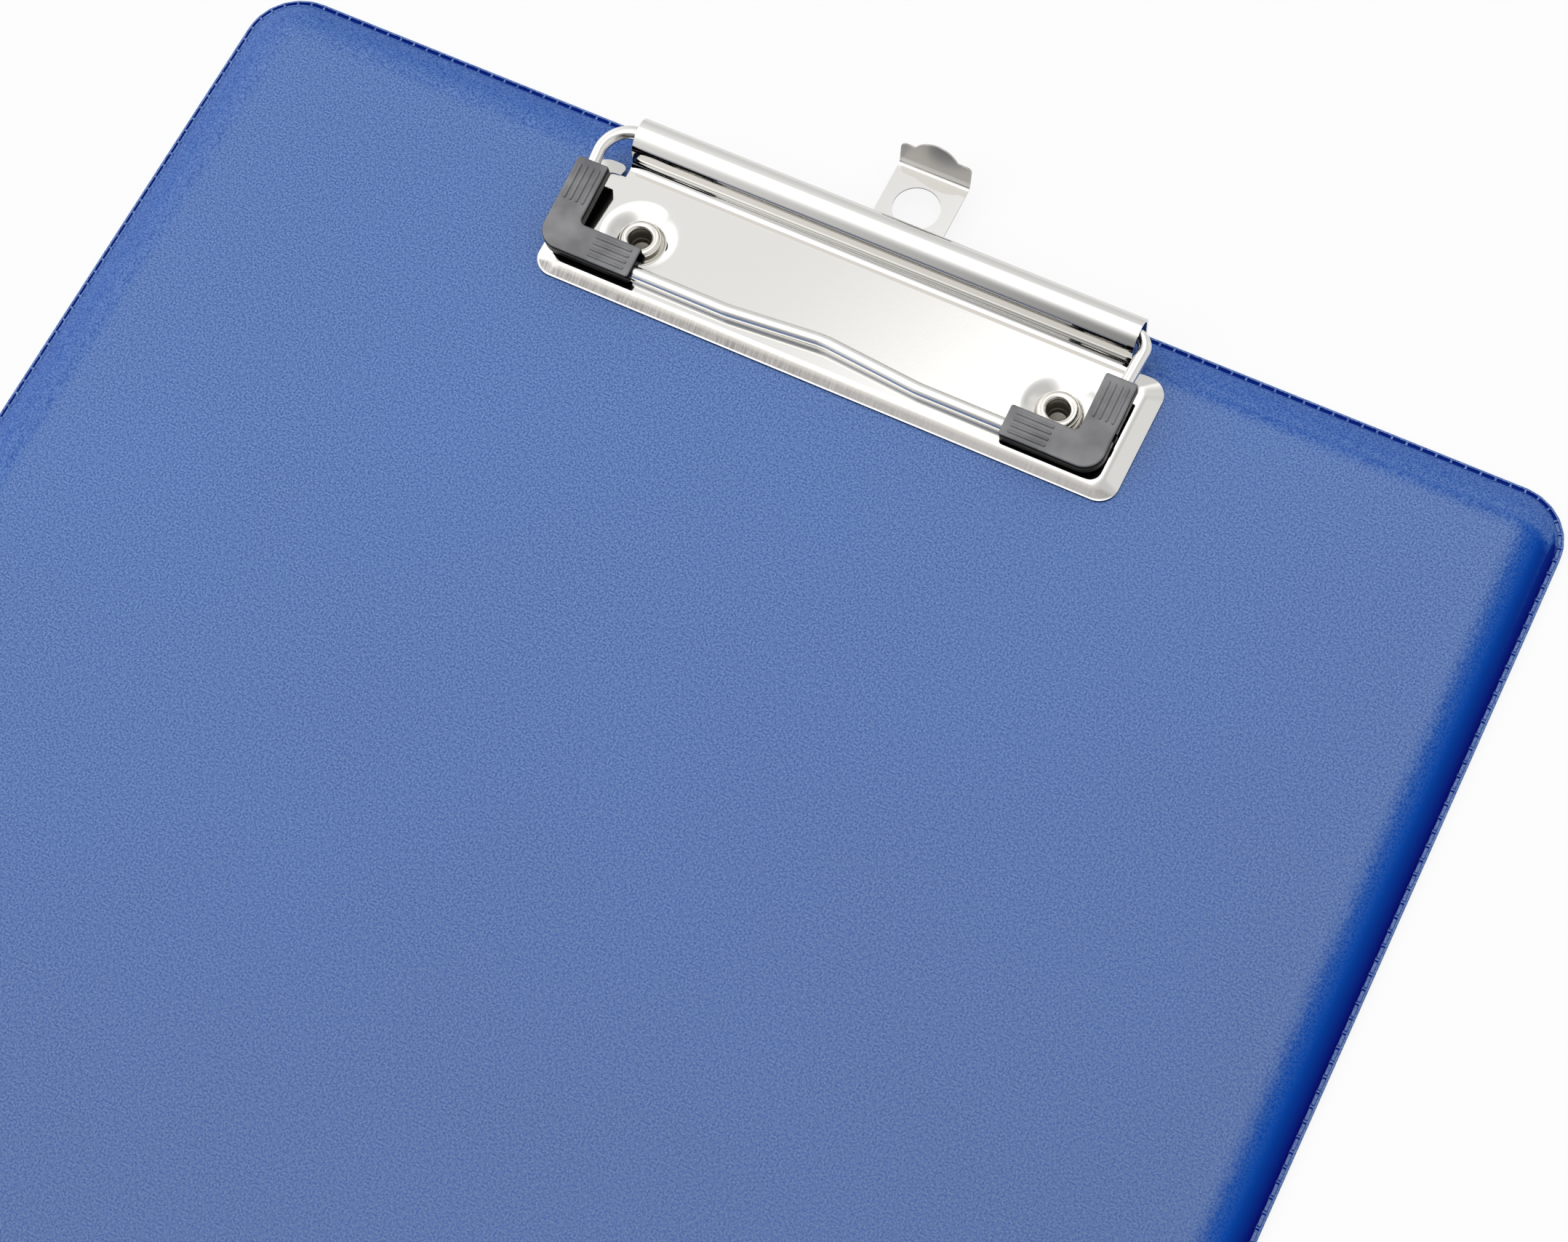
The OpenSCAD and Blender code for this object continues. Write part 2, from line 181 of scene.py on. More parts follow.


# %% [markdown]
# ## PVC foil
# The board's skin is calendered PVC, pressed with a very fine leather-like grain. Its blue
# is deep, and the grain scatters the studio's light into a pale satin veil, which is painted
# into the colour: a painted sheen on the grain's ridges. The grain is far too fine for the
# mesh, so noise draws it, both in the colour and as bump.

# %% Material: PVC foil, its grain and its painted sheen
# One cell of the noise is a little coarser than the real grain, so that it shows.
GRAIN_MM, CLOUD_MM = 0.3, 38
foil, node, place = new_material("blue PVC foil, calendered with a fine grain")
grain = node("TexNoise", None, place, Scale=1 / (GRAIN_MM * MM), Detail=1.0, Roughness=0.4)
cloud = node("TexNoise", None, place, Scale=1 / (CLOUD_MM * MM), Detail=2.0, Roughness=0.5)
cloudy = node("MapRange", None, cloud, 0.35, 0.65)
blue = node("Mix", COLOUR, cloudy, linear("#004292"), linear("#004697"))
# The painted veil is weaker and less blue away from the clip, towards the lower right: a
# painted falloff of the studio's light.
falling = node("VectorMath", "DOT_PRODUCT", place, (0.52, -0.85, 0))
light_falloff = node("MapRange", None, falling, *mm(-110, 30))
painted_veil = node("Mix", COLOUR, light_falloff, linear("#6085BF"), linear("#55729F"))
ridge = node("MapRange", None, grain, 0.32, 0.68)
grain_with_painted_veil = node("Mix", COLOUR, ridge, blue, painted_veil)
print("foil grain %.2f mm" % GRAIN_MM)

# %% [markdown]
# Round the edge the foil is drawn over the core, and its slope turns from the light. There
# the veil is taken out and a deep blue is painted in its place: painted shade on the slope.
# A painted map could hold this band. Here it follows from the distance in from the rounded
# edge, which is the corner's radius less the way out past an inner rectangle, so it stays
# even round the corners.

# %% Material: PVC foil, painted shade where it is drawn over the core
SLOPE_END = 0.97
inner_corner = (*mm(BOARD_W / 2 - CORNER_R, BOARD_L / 2 - CORNER_R), 1.0)
way_out = node("VectorMath", "ABSOLUTE", place)
way_out = node("VectorMath", "SUBTRACT", way_out, inner_corner)
way_out = node("VectorMath", "MAXIMUM", way_out, (0, 0, 0))
way_out = node("VectorMath", "LENGTH", way_out)
inset = node("Math", "SUBTRACT", CORNER_R * MM, way_out)
bent = node("MapRange", SOFT, inset, *mm(CORNER_R, 3.2))
# Seen at a low angle the slope still takes much of the veil, so there the painted shade is
# weaker. At the steep foot of the slope the angle has to be lower still.
at_foot = node("MapRange", None, inset, *mm(2.2, 1.5), 0.0, 0.1)
facing = node("LayerWeight", None, 0.5).outputs["Facing"]
turned_away = node("Math", "SUBTRACT", facing, at_foot)
low_angle = node("MapRange", SOFT, turned_away, 0.17, 0.25, 1.0, 0.32)
# drawn is the painted shade: where it is 1, the deep blue takes the place of the veil.
drawn = node("Math", "MULTIPLY", bent, low_angle)
on_slope = node("Math", "GREATER_THAN", inset, SLOPE_END * MM)
drawn = node("Math", "MULTIPLY", drawn, on_slope)
print("slope from %.2f to %.2f mm in" % (SLOPE_END, CORNER_R))

# %% Material: PVC foil, painted shade in the pads of the weld
# The teeth of the welding bar have pressed the pads smooth and sunk them, and the lip
# outside them has kept its grain. The sunk pads get painted shade. Along the left side the
# lip's shadow is painted over only their outer half. Along the right side they catch the
# light, and only the steep walls round them get painted shade.
UNDER_BARS, SEAM_MIDDLE, SEAM_HALF = 0.72, 0.66, 0.32
across, _, height = node("SeparateXYZ", None, place).outputs
normal = node("SeparateXYZ", None, node("TexCoord").outputs["Normal"])
between_bars = node("Math", "LESS_THAN", height, UNDER_BARS * MM)
shaded_width = node("MapRange", None, across,
                    *mm(-(BOARD_W / 2 - 1), -(BOARD_W / 2 - 9), 0.62, 0.88))
in_shade = node("Math", "LESS_THAN", inset, shaded_width)
painted_floor_shade = node("Math", "MULTIPLY", between_bars, in_shade)
steep_wall = node("Math", "LESS_THAN", normal.outputs[2], 0.85)
on_right = node("Math", "GREATER_THAN", across, (BOARD_W / 2 - 3) * MM)
# pressed is the pads' painted shade: on the floor along the left, on the steep walls along the
# right.
pressed = node("Mix", None, on_right, painted_floor_shade, steep_wall)
in_seam = node("Math", "COMPARE", inset, *mm(SEAM_MIDDLE, SEAM_HALF))
on_pads = node("Math", "MULTIPLY", in_seam, pressed)
drawn = node("Math", "MAXIMUM", drawn, on_pads)
print("pads from %.2f to %.2f mm in" % (SEAM_MIDDLE - SEAM_HALF, SEAM_MIDDLE + SEAM_HALF))

# %% Material: PVC foil, its colour and gloss
# The foot of the slope lies in the shade of the board's own edge, so its blue is the
# deepest. The pads are a little lighter.
shade = node("MapRange", None, inset, *mm(4.5, 1.0))
shade = node("Math", "MULTIPLY", shade, drawn)
pads_lighter = node("MapRange", None, on_slope, 0.0, 1.0, 0.8, 1.0)
shade = node("Math", "MULTIPLY", shade, pads_lighter)
deep_blue = node("Mix", COLOUR, shade, linear("#0044A2"), linear("#000068"))
foil_colour = node("Mix", COLOUR, drawn, grain_with_painted_veil, deep_blue)
foil_gloss = node("MapRange", None, drawn, 0.0, 0.5, 0.6, 0.03)
bump = node("Bump", None, Strength=0.8, Distance=0.05 * MM, Height=grain)
finish_surface(node, Base_Color=foil_colour, Roughness=0.4, IOR=1.54, Normal=bump,
               Specular_IOR_Level=foil_gloss)
print("foil nodes:", len(foil.node_tree.nodes))

# %% [markdown]
# ## Bright nickel plate
# The clip is steel strip, pressed and then plated with bright nickel: a slightly milky
# mirror. The strip keeps a trace of its rolling, a very fine unevenness in the reflections.
# Where the press has stretched it, it is matt: down the front skirt, with fine streaks at
# right angles to the edge, and up the tab's lip. Separate materials would meet in hard
# lines, so masks made from each point's place fade one finish into the next.

# %% Material: nickel-plated sheet, where the press has worked it, and its painted shade
NICKEL = linear("#E9E8E5")
TOP_EDGE, SKIRT_EDGE = BOARD_L / 2, BOARD_L / 2 + PLATE_FRONT
plated_sheet, node, place = new_material("steel strip, pressed and bright nickel plated")
across, along, height = node("SeparateXYZ", None, place).outputs
# The skirt at the front, above the narrow lip along its edge.
in_front = node("MapRange", SOFT, along, *mm(SKIRT_EDGE + 2.3, SKIRT_EDGE + 1.5))
above_lip = node("MapRange", None, height, *mm(3.46, 3.56))
on_skirt = node("Math", "MULTIPLY", in_front, above_lip)
# The upper part of the wall in front of the barrel, under the barrel's overhang.
near_wall = node("Math", "COMPARE", along, *mm(TOP_EDGE - 8.4, 0.9))
up_wall = node("MapRange", SOFT, height, *mm(6.8, 7.3))
on_wall = node("Math", "MULTIPLY", near_wall, up_wall)
# The lip that the press turned up at the end of the tab.
past_fold = node("Math", "GREATER_THAN", along, (TOP_EDGE + 10.8) * MM)
up_lip = node("MapRange", None, height, *mm(4.0, 5.0))
on_lip = node("Math", "MULTIPLY", past_fold, up_lip)
# The upper wall and the tab's lip get a darker grey copy of the nickel: painted shade.
painted_shade_upright = node("Math", "MAXIMUM", on_wall, on_lip)
stretched = node("Math", "MAXIMUM", on_skirt, on_lip)
print("skirt's edge at y = %.2f mm" % SKIRT_EDGE)

# %% Material: nickel-plated sheet, its colour and gloss
ROLLING_MM, STREAK_MM, STREAK_LENGTH_MM = 0.5, 0.2, 2.5
rolling = node("TexNoise", None, place, Scale=1 / (ROLLING_MM * MM), Detail=2.0)
squeezed = node("Mapping", None, place,
                Scale=[1 / size for size in mm(STREAK_MM, STREAK_LENGTH_MM, STREAK_LENGTH_MM)])
streaks = node("TexNoise", None, squeezed, Scale=1.0, Detail=2.0)
# Towards the right the streaks fade into a brighter satin.
streak = node("Math", "SUBTRACT", streaks, 0.5)
strength = node("MapRange", None, across, *mm(-10, 25), 1.6, 0.7)
brightness = node("MapRange", None, across, *mm(-10, 25), 0.4, 0.8)
worked = node("Math", {"operation": "MULTIPLY_ADD", "use_clamp": True}, streak, strength,
              brightness)
upper_satin = node("Mix", COLOUR, worked, linear("#C0BCB6"), linear("#DAD7D2"))
lower_satin = node("Mix", COLOUR, worked, linear("#8C8886"), linear("#C8C5C2"))
down_skirt = node("MapRange", SOFT, height, *mm(4.45, 4.05))
satin = node("Mix", COLOUR, down_skirt, upper_satin, lower_satin)
# Painted shade: a darker grey on the upper wall and the lip.
sheet_colour = node("Mix", COLOUR, painted_shade_upright, NICKEL, linear("#B9B6B2"))
sheet_colour = node("Mix", COLOUR, on_skirt, sheet_colour, satin)
# A thin dark line is painted round the foot of the plate's cut edge: painted shadow where the
# plate meets the foil.
painted_contact_shadow = node("MapRange", None, height, *mm(3.30, 3.22))
sheet_colour = node("Mix", COLOUR, painted_contact_shadow, sheet_colour, linear("#202030"))
sheet_roughness = node("MapRange", None, stretched, 0.0, 1.0, 0.06, 0.3)
relief = node("Mix", None, on_skirt, rolling, streaks)
bump = node("Bump", None, Strength=0.06, Distance=0.02 * MM, Height=relief)
finish_surface(node, Base_Color=sheet_colour, Metallic=1.0, Roughness=sheet_roughness, Normal=bump)
print("streaks %.1f mm wide" % STREAK_MM)

# %% Materials: plated wire and plated rivets
# Wire is drawn through a die before it is plated, so its gloss is even and a little softer.
plated_wire, node, place = new_material("spring steel wire, drawn and bright nickel plated")
drawing = node("TexNoise", None, place, Scale=1 / (0.8 * MM), Detail=2.0)
bump = node("Bump", None, Strength=0.1, Distance=0.02 * MM, Height=drawing)
finish_surface(node, Base_Color=NICKEL, Metallic=1.0, Roughness=0.2, Normal=bump)

# A rivet's rim is rolled over cold, which leaves it faintly uneven. Down its blind hole the
# steel is rougher, and its colour darkens with depth: painted shade in the hole. The head
# behind is bright.
plated_rivet, node, place = new_material("tubular rivet, cold formed and nickel plated")
rolled = node("TexNoise", None, place, Scale=1 / (0.6 * MM), Detail=3.0)
bump = node("Bump", None, Strength=0.2, Distance=0.03 * MM, Height=rolled)
height = node("SeparateXYZ", None, place).outputs[2]
down_hole = node("MapRange", None, height, *mm(4.2, 3.0))
over_head = node("Math", "GREATER_THAN", height, 0.46 * MM)
in_hole = node("Math", "MULTIPLY", down_hole, over_head)
# Painted shade: the colour darkens down the hole.
rivet_colour = node("Mix", COLOUR, in_hole, linear("#E4E1DA"), linear("#8A8680"))
rivet_roughness = node("MapRange", None, in_hole, 0.0, 1.0, 0.22, 0.42)
finish_surface(node, Base_Color=rivet_colour, Metallic=1.0, Roughness=rivet_roughness, Normal=bump)
print("three plated finishes")

# %% [markdown]
# ## Moulded grips and greyboard
# The grips are black plastic from a spark-eroded mould: its fine pitting gives an even
# satin top, which looks dark grey under a broad light. That grey is painted into the top's
# colour as a painted sheen, while the walls stay black. The core is greyboard, pressed from
# recycled fibre, and only its edges could ever show.

# %% Materials: moulded plastic and greyboard
moulded_black, node, place = new_material("black plastic, moulded with a satin spark-eroded face")
pits = node("TexNoise", None, place, Scale=1 / (0.25 * MM), Detail=2.0)
# The painted sheen and the roughness vary in random patches.
patches = node("TexNoise", None, place, Scale=1 / (5 * MM), Detail=2.0)
patchy = node("MapRange", None, patches, 0.35, 0.7)
# Only the top gets the painted sheen, so the height that counts is the one over the wire's
# own plane.
WIRE_NORMAL = (0.0, -math.sin(BAIL_TILT), math.cos(BAIL_TILT))
pivot = from_clip([0, PIVOT_Y, PIVOT_Z])
over_wire = node("VectorMath", "DOT_PRODUCT", place, WIRE_NORMAL)
over_wire = node("Math", "SUBTRACT", over_wire, pivot @ WIRE_NORMAL * MM)
sheen_on_top = node("MapRange", SOFT, over_wire, *mm(1.72, 1.96))
painted_top_sheen = node("Mix", COLOUR, patchy, linear("#4E4E51"), linear("#7A7A7C"))
# Painted sheen: dark grey on the top, black on the walls.
grip_colour = node("Mix", COLOUR, sheen_on_top, linear("#040405"), painted_top_sheen)
grip_roughness = node("MapRange", None, patchy, 0.0, 1.0, 0.24, 0.36)
grip_gloss = node("MapRange", None, sheen_on_top, 0.0, 1.0, 0.01, 1.0)
bump = node("Bump", None, Strength=0.3, Distance=0.03 * MM, Height=pits)
finish_surface(node, Base_Color=grip_colour, Roughness=grip_roughness, IOR=1.5, Normal=bump,
               Specular_IOR_Level=grip_gloss)

greyboard, node, place = new_material("greyboard, pressed from recycled fibre")
fibre = node("TexNoise", None, place, Scale=1 / (1.2 * MM), Detail=4.0)
grey = node("Mix", COLOUR, fibre, linear("#8A8072"), linear("#A79C8B"))
bump = node("Bump", None, Strength=0.4, Distance=0.1 * MM, Height=fibre)
finish_surface(node, Base_Color=grey, Roughness=0.9, IOR=1.45, Normal=bump)
print("plastic and greyboard")

# %% [markdown]
# ## From arrays to meshes
# Every new piece is a grid of points worked out by numpy. The faces of a grid follow from
# the numbers of its rows and columns alone. A grid may close on itself like a ring. Grids
# that share an edge are joined by merging the points that coincide.

# %% Helpers for meshes


def grid_faces(rows, cols, ring=False, first=0):
    """Quads between neighbours of a rows x cols grid; ring joins the last column to the first."""
    i, j = np.meshgrid(np.arange(rows - 1), np.arange(cols if ring else cols - 1), indexing="ij")
    k = (j + 1) % cols
    quads = np.stack([i * cols + j, i * cols + k, (i + 1) * cols + k, (i + 1) * cols + j], -1)
    return (first + quads.reshape(-1, 4)).tolist()


def closed_grid(rings):
    """A grid of rings in their order, with one face across the first and one across the last."""
    rows, cols = len(rings), len(rings[0])
    ends = [list(range(cols))[::-1], list(range((rows - 1) * cols, rows * cols))]
    return np.concatenate(rings), grid_faces(rows, cols, ring=True) + ends


def circle(count):
    """Points round the unit circle: the cosine and sine of evenly spread angles."""
    a = np.linspace(0, 2 * math.pi, count, endpoint=False)
    return np.column_stack([np.cos(a), np.sin(a)])


# %% Helpers for pieces


def piece_from(name, grids, material, body, slot, *nodes, weld=0.0005, sharp=35, turn=False):
    """One object from (points, faces) pairs in mm: joined, merged at shared edges and shaded.
    turn recalculates the outward side, for a closed shell."""
    points, faces, first = [], [], 0
    for grid_points, grid in grids:
        grid_points = np.asarray(grid_points, float).reshape(-1, 3)
        points.append(grid_points)
        faces += [[first + k for k in face] for face in grid]
        first += len(grid_points)
    mesh = bpy.data.meshes.new(name)
    mesh.from_pydata((np.concatenate(points) * MM).tolist(), [], faces)
    made = bmesh.new()
    made.from_mesh(mesh)
    bmesh.ops.remove_doubles(made, verts=made.verts, dist=weld * MM)
    bmesh.ops.delete(made, geom=[v for v in made.verts if not v.link_faces], context="VERTS")
    if turn:
        bmesh.ops.recalc_face_normals(made, faces=made.faces)
    made.to_mesh(mesh)
    made.free()
    mesh.shade_smooth()
    mesh.set_sharp_from_angle(angle=math.radians(sharp))
    # An edge with one face is sharp too, so that the rim of a sheet stays crisp.
    face_edges, creases = np.empty(len(mesh.loops), np.int32), np.empty(len(mesh.edges), bool)
    mesh.loops.foreach_get("edge_index", face_edges)
    mesh.edges.foreach_get("use_edge_sharp", creases)
    rims = np.bincount(face_edges, minlength=len(creases)) == 1
    mesh.edges.foreach_set("use_edge_sharp", creases | rims)
    mesh.materials.append(material)
    piece = bpy.data.objects.new(name, mesh)
    scene.collection.objects.link(piece)
    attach(piece, body)
    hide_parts(*nodes)
    print(name, len(mesh.vertices), "points", len(mesh.polygons), "faces")
    return piece


def add_wall(piece, thickness):
    """A sheet's thickness, laid on the inner side of its faces."""
    wall = piece.modifiers.new("sheet thickness", "SOLIDIFY")
    wall.thickness = thickness * MM
    wall.offset = -1
    wall.use_even_offset = True


# %% [markdown]
# ## The front foil and its welded seam
# A welding bar with teeth presses the two foils together round the edge: 446 small pads in
# a row, a cross-bar between each two, with a flat lip outside. Inside the seam the foil
# climbs in a soft slope over the core's edge. The surface is one grid. Its columns are
# stations round the edge, four for each pad, and its rows follow the section inwards from
# the edge. A long strip of pads could also be a repeated tile, but one grid stays closed
# at the corners.

# %% Stations round the board's edge
PADS = 446
PAD_COLUMNS = np.array([0.04, 0.75, 0.84, 0.95])


def edge_stations():
    """Distances along the rounded rectangle, turned into a base point and an outward normal.
    Straights have their base on the inner rectangle; a corner's stations share one base."""
    straight = np.array([BOARD_L - 2 * CORNER_R, BOARD_W - 2 * CORNER_R] * 2)
    arc = math.pi / 2 * CORNER_R
    length = straight.sum() + 4 * arc
    s = ((np.arange(PADS)[:, None] + PAD_COLUMNS) / PADS * length).ravel()
    starts = np.concatenate([[0], np.cumsum(np.stack([straight, [arc] * 4], 1).ravel())])
    part = np.searchsorted(starts, s, side="right") - 1
    along = s - starts[part]
    half = np.array([BOARD_W / 2, BOARD_L / 2]) - CORNER_R
    corners = half * [[1, -1], [1, 1], [-1, 1], [-1, -1]]
    side = part // 2
    heading = side * math.pi / 2
    bend = np.where(part % 2 == 1, along / CORNER_R, 0)
    normal = np.stack([np.cos(heading + bend), np.sin(heading + bend)], 1)
    tangent = np.stack([-np.sin(heading), np.cos(heading)], 1)
    run = np.where(part % 2 == 1, straight[side], along)
    return corners[side] + tangent * run[:, None], normal, length


base, outward, round_length = edge_stations()
on_bar = np.tile([False, False, True, True], PADS)
print("pad pitch %.2f mm on %d columns" % (round_length / PADS, len(base)))

# %% Rings of the foil


def rise(t):
    """Share of the slope's height at share t of its width: 1 - (1 - t)^2.2."""
    return 1 - (1 - t) ** 2.2


def foil_ring(inwards, height):
    """One ring of the foil at a distance in from the edge."""
    xy = base + outward * (CORNER_R - inwards)
    return np.column_stack([xy, np.broadcast_to(height, len(base))])


def slope_rings(start, low, climb, shares):
    """Rings up over the core's edge: at each share of the width, low plus climb times rise."""
    return [foil_ring(start + (CORNER_R - start) * t, low + climb * rise(t)) for t in shares]


# %% Flat caps with the rivet holes
RIVETS_X, RIVETS_Y = 36.36, -19.6
HOLE_R, HOLE_POINTS = 2.4, 48


def drilled(edge, height):
    """A flat cap inside a ring, with the two rivet holes left open: Delaunay triangles on
    the three loops, less those that lie in a hole. Returns the holes' points, and the grid."""
    hole = HOLE_R * circle(HOLE_POINTS)
    centres = np.array([[-RIVETS_X, RIVETS_Y], [RIVETS_X, RIVETS_Y]]) + [0, BOARD_L / 2]
    loops = [edge[:, :2], centres[0] + hole, centres[1] + hole]
    starts = np.cumsum([0] + [len(loop) for loop in loops])
    sides = np.concatenate([np.column_stack([k + np.arange(len(loop)),
                                             k + np.roll(np.arange(len(loop)), -1)])
                            for k, loop in zip(starts, loops)])
    flat = [Vector(p) for p in np.concatenate(loops).tolist()]
    flat, _, faces, *_ = delaunay_2d_cdt(flat, sides.tolist(), [], 1, 1e-5)
    flat = np.array([tuple(p) for p in flat])
    middles = flat[np.array(faces)].mean(1)
    away = np.linalg.norm(middles[:, None] - centres, axis=2).min(1)
    faces = [face for face, kept in zip(faces, away > HOLE_R) if kept]
    level = [np.column_stack([loop, np.full(len(loop), height)]) for loop in (flat, *loops[1:])]
    return level[1:], (level[0], faces)


# %% Front foil
PAD_FLOOR, BAR_TOP = 0.56, 0.74
SLOPE_SHARES = np.array([1.0, 0.85, 0.7, 0.55, 0.42, 0.3, 0.2, 0.12, 0.06, 0.02])
UNDER_SHARES = np.array([0.0, 0.1, 0.3, 0.6, 1.0])
UNDER_INSET = 0.3
# Ways in and heights from the slope's foot outwards: pads and bars, lip, rounded edge.
pads, pad_walls = (np.where(on_bar, BAR_TOP, floor) for floor in (PAD_FLOOR, 0.62))
seam = [(SEAM_W, SEAM_T - 0.05), (0.94, pad_walls), (0.88, pads), (0.42, pads),
        (0.34, SEAM_T), (0.1, SEAM_T), (0.0, SEAM_T - 0.07), (0.0, FOIL_T)]
rings = slope_rings(SEAM_W, SEAM_T, BOARD_T - SEAM_T, SLOPE_SHARES)
rings += [foil_ring(inwards, height) for inwards, height in seam]
rings += slope_rings(SEAM_W + UNDER_INSET, FOIL_T, CORE_T, UNDER_SHARES)
foil_grids = [(np.concatenate(rings), grid_faces(len(rings), len(base), ring=True))]
top_holes, top_cap = drilled(rings[0], BOARD_T)
low_holes, low_cap = drilled(rings[-1], BOARD_T - FOIL_T)
foil_grids += [top_cap, low_cap]
foil_grids += [(np.concatenate(pair), grid_faces(2, HOLE_POINTS, ring=True))
               for pair in zip(top_holes, low_holes)]
piece_from("front_foil", foil_grids, foil, "board", "foil", "front_cover", sharp=28, turn=True)

# %% [markdown]
# ## The clip plate
# The plate is one pressing: a shallow pan with a sloping skirt, two round dishes for the
# rivets, and a middle part that turns up into a wall and rolls over into a barrel. A height
# over the board describes the pan, and a section carried across describes the barrel. Both
# use the same columns, so they join without a seam. Cutting the shape from solids would
# give hard creases, where a pressing has soft ones.

# %% Sizes of the plate
PLATE_HALF, PLATE_REAR = 50.2, -8.0
SKIRT_SIDE, SKIRT_FRONT, SKIRT_REAR = 2.8, 1.95, 2.7
PLATE_R, CREASE_R = 3.3, 2.0
BARREL_HALF, NOTCH = 86.9 / 2, 0.95
EAR_X = BARREL_HALF + NOTCH
EAR_R = 1.4
DISH_IN, DISH_OUT, DISH_HOLE_R = 3.35, 6.7, 2.8
EDGE_H, LIP, LIP_W = 0.42, 0.045, 2.2
LIP_ROUND, CREASE_ROUND = 0.06, 0.2
# The pan's rows end where the barrel's section starts. A hair's breadth keeps a
# comparison clear of rounding.
PAN_END, HAIR = -10.7, 0.01
print("plate %.1f mm wide" % (2 * PLATE_HALF))

# %% Height of the pan
HALVINGS = 32


def skirt_share(x, y, rear_skirt):
    """Share of the way up the skirt, by halving: outline t shrinks from the outer edge (0)
    to the crease (1) and beyond, and the share is the last outline that still holds (x, y)."""
    low, high = np.full(x.shape, -0.2), np.full(x.shape, 1.6)
    for _ in range(HALVINGS):
        t = (low + high) / 2
        front = PLATE_FRONT + SKIRT_FRONT * t
        rear = np.where(rear_skirt, PLATE_REAR - SKIRT_REAR * t, 20.0)
        r = np.maximum(PLATE_R - (PLATE_R - CREASE_R) * t, 0.2)
        qx = np.abs(x) - (PLATE_HALF - SKIRT_SIDE * t - r)
        qy = np.abs(y - (front + rear) / 2) - ((rear - front) / 2 - r)
        away = np.hypot(np.maximum(qx, 0), np.maximum(qy, 0)) + np.minimum(np.maximum(qx, qy), 0)
        inside = away <= r + 1e-9
        low, high = np.where(inside, t, low), np.where(inside, high, t)
    return low


def soft_min(a, b, k):
    """The smaller of a and b, with the corner between them rounded over a width k."""
    h = np.clip(0.5 + 0.5 * (b - a) / k, 0, 1)
    return b * (1 - h) + a * h - k * h * (1 - h)


def pan_height(x, y):
    """Height of the pan's upper side: the skirt, its soft crease, the flat, and the dishes."""
    rear = np.abs(x) > EAR_X - HAIR
    t = skirt_share(x, y, rear)
    lip = LIP * np.clip(PLATE_FRONT + LIP_W - y, 0, 1)
    climb = -soft_min(-t, -lip, LIP_ROUND * lip / LIP + 0.001) - lip
    z = EDGE_H + (PLATE_H - EDGE_H) / (1 - lip) * soft_min(climb, 1 - lip, CREASE_ROUND)
    r = np.hypot(np.abs(x) - RIVETS_X, y - RIVETS_Y)
    s = np.clip((r - DISH_IN) / (DISH_OUT - DISH_IN), 0, 1)
    return z - (PLATE_H - SHEET_T) * (1 - s) ** 2 * (1 + 0.6 * s)


# %% Columns and rows of the pan
TAB_SHIFT, SLOT_HALF = 0.85, 6.55
SLOT = (TAB_SHIFT - SLOT_HALF, TAB_SHIFT + SLOT_HALF)
DISH_REACH = 6.9


def stops(*spans):
    """Sorted stops from (from, to, step) spans."""
    made = [np.linspace(a, b, max(2, int(round(abs(b - a) / step)) + 1)) for a, b, step in spans]
    return np.unique(np.round(np.concatenate(made), 6))


# Columns as far as the ears: close over the dishes, sparse where the plate is flat.
half_x = stops((0, 5.7, 1.9), (5.7, 7.4, 1.7), (7.4, RIVETS_X - 7, 2.4),
               (RIVETS_X - 7, RIVETS_X + DISH_REACH, 0.3),
               (RIVETS_X + DISH_REACH, BARREL_HALF, 0.2), (BARREL_HALF, EAR_X, NOTCH))
inner_x = np.unique(np.round(np.concatenate([-half_x, half_x, SLOT]), 4))
# Shares of an ear's width, closer together towards its outer edge.
EDGE_SHARES = 0.34 * np.array([0.25, 0.15, 0.09, 0.05, 0.02])
ear_shares = np.concatenate([stops((0, 5.3, 0.22)) / 5.8, 1 - EDGE_SHARES, [1.0]])
ear_shares = np.unique(np.round(ear_shares[ear_shares > 0], 6))
corner = PLATE_R * (1 - np.cos(np.linspace(0, math.pi / 2, 22)))
front_rows = PLATE_FRONT + np.concatenate([corner, stops((3.6, 4.6, 0.35))])
dish_rows = stops((RIVETS_Y - DISH_REACH, RIVETS_Y + DISH_REACH, 0.3))
pan_y = np.unique(np.concatenate([front_rows, dish_rows, stops((-12.5, PAN_END, 0.3))]))
ear_y = PLATE_REAR - corner[::-1]
ear_y = np.unique(np.concatenate([[PAN_END, PAN_END + 0.3], ear_y[ear_y > PAN_END + 0.4]]))
print(len(inner_x), "columns,", len(pan_y), "rows")


# %% Grid of the pan
# The cut edge is turned down to the board through these two heights.
TURN_DOWN = (0.24, 0.0)


def half_width(y):
    """Half the plate's width at y: full, and round at its corners."""
    dip = np.maximum(PLATE_R - (y - PLATE_FRONT), PLATE_R - (PLATE_REAR - y))
    return PLATE_HALF - PLATE_R + np.sqrt(np.maximum(PLATE_R ** 2 - np.clip(dip, 0, None) ** 2, 0))


def ear_start(y):
    """Where an ear begins at y: beside the notch, and rounded off towards its rear edge."""
    dip = np.clip(y - (PLATE_REAR - EAR_R), 0, EAR_R)
    return EAR_X + EAR_R - np.sqrt(EAR_R ** 2 - dip ** 2)


def turned_down(grid, axis, at_end):
    """The grid with its first or last line repeated at each height of TURN_DOWN."""
    edge = np.take(grid, [-1 if at_end else 0], axis)
    lowered = [np.concatenate([edge[..., :2], np.minimum(edge[..., 2:], z)], -1) for z in TURN_DOWN]
    return np.concatenate([grid, *lowered] if at_end else [*lowered[::-1], grid], axis)


